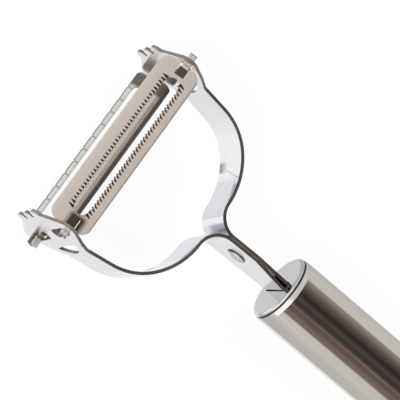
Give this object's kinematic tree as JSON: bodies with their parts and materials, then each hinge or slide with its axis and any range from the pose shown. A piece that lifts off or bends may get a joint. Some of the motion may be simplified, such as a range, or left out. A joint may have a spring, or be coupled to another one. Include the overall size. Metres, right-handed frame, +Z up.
{
  "type": "vegetable peeler",
  "caption": "Hand peeler: tubular steel handle, forked strip head with toothed ears, and swivelling peeling and julienne blades on its opposite faces.",
  "frame": {"origin": "middle of the bottom of the bounding box, on the table that the part lies on", "axes": "+X along the blades, +Y from the handle to the head, +Z up, out of the face that carries the peeling blade"},
  "size_m": [0.068, 0.1885, 0.0396],
  "materials": {
    "strip_steel": "satin pressed strip",
    "rivet_steel": "smooth",
    "blade_steel": "ground, slightly warm",
    "cap_steel": "polished",
    "tube_steel": "polished tube",
    "plug_plastic": "moulded",
    "wire_steel": "drawn wire"
  },
  "bodies": {
    "handle_body": {"right_arm": "strip_steel", "left_arm": "strip_steel", "neck_rivet": "rivet_steel", "front_cap": "cap_steel", "handle_tube": "tube_steel", "handle_plug": "plug_plastic", "plug_pin": "rivet_steel", "rear_cap": "cap_steel", "hanging_loop": "wire_steel"},
    "peeling_blade_body": {"peeling_blade": "blade_steel"},
    "julienne_blade_body": {"julienne_blade": "blade_steel"}
  },
  "joints": [
    {"name": "peeling_swivel", "type": "hinge", "parent": "handle_body", "child": "peeling_blade_body", "pos_m": [0, 0.08405, 0.0336], "axis": [1, 0, 0], "range_deg": [-38, 62]},
    {"name": "julienne_swivel", "type": "hinge", "parent": "handle_body", "child": "julienne_blade_body", "pos_m": [0, 0.08405, 0.006], "axis": [1, 0, 0], "range_deg": [0, 100]}
  ]
}
